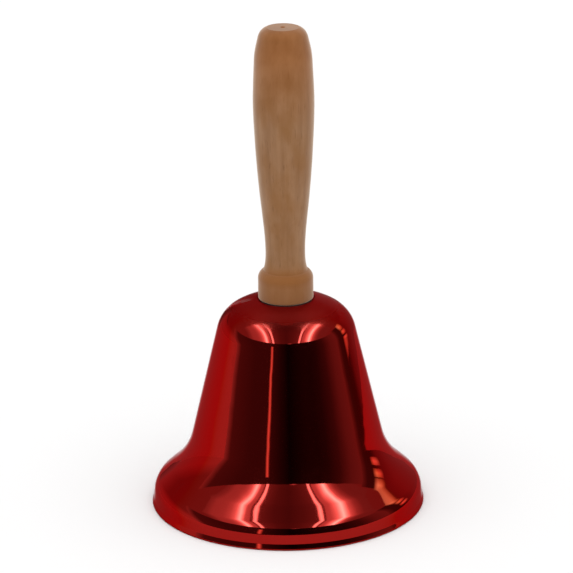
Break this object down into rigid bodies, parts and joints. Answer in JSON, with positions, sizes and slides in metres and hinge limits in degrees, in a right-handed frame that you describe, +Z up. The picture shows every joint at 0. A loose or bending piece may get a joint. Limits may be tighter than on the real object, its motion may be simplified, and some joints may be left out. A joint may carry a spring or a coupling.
{
  "type": "hand bell",
  "caption": "Red lacquered metal hand bell on a turned wooden handle, rung by a ball clapper that swings from a yoke inside; used to raise a fire alarm by hand.",
  "frame": {"origin": "centre of the bell's mouth, on the plane that its rim stands on", "axes": "+Z up the bell's axis to the handle; the clapper swings about a pin along +Y, so from side to side along X; -Y faces the viewer"},
  "size_m": [0.1264, 0.1264, 0.2261],
  "materials": {
    "red_lacquer": "clear red lacquer over bright polished steel",
    "wood": "turned hardwood with a thin satin varnish",
    "rubber": "matt black sheet",
    "zinc_steel": "bright zinc plate",
    "bright_steel": "turned bright steel",
    "spring_steel": "blued spring steel",
    "nylon": "natural nylon",
    "bronze": "sintered bronze",
    "brass": "turned and polished brass"
  },
  "bodies": {
    "bell": {"handle": "wood", "seat_washer": "rubber", "bell_shell": "red_lacquer", "crown_washer": "zinc_steel", "clapper_yoke": "zinc_steel", "lock_washer": "zinc_steel", "crown_nut": "zinc_steel", "hanger_stud": "zinc_steel", "yoke_pin": "bright_steel", "pin_washer": "zinc_steel", "pin_clip": "spring_steel", "pin_spacers": "nylon"},
    "clapper": {"clapper_rod": "bright_steel", "eye_bush": "bronze", "clapper_ball": "brass", "ball_washer": "zinc_steel", "ball_lock_nut": "zinc_steel", "clapper_tip_nut": "zinc_steel"}
  },
  "joints": [
    {"name": "clapper_swing", "type": "hinge", "parent": "bell", "child": "clapper", "pos_m": [0, 0, 0.079], "axis": [0, 1, 0], "range_deg": [-32.6, 32.6]}
  ]
}
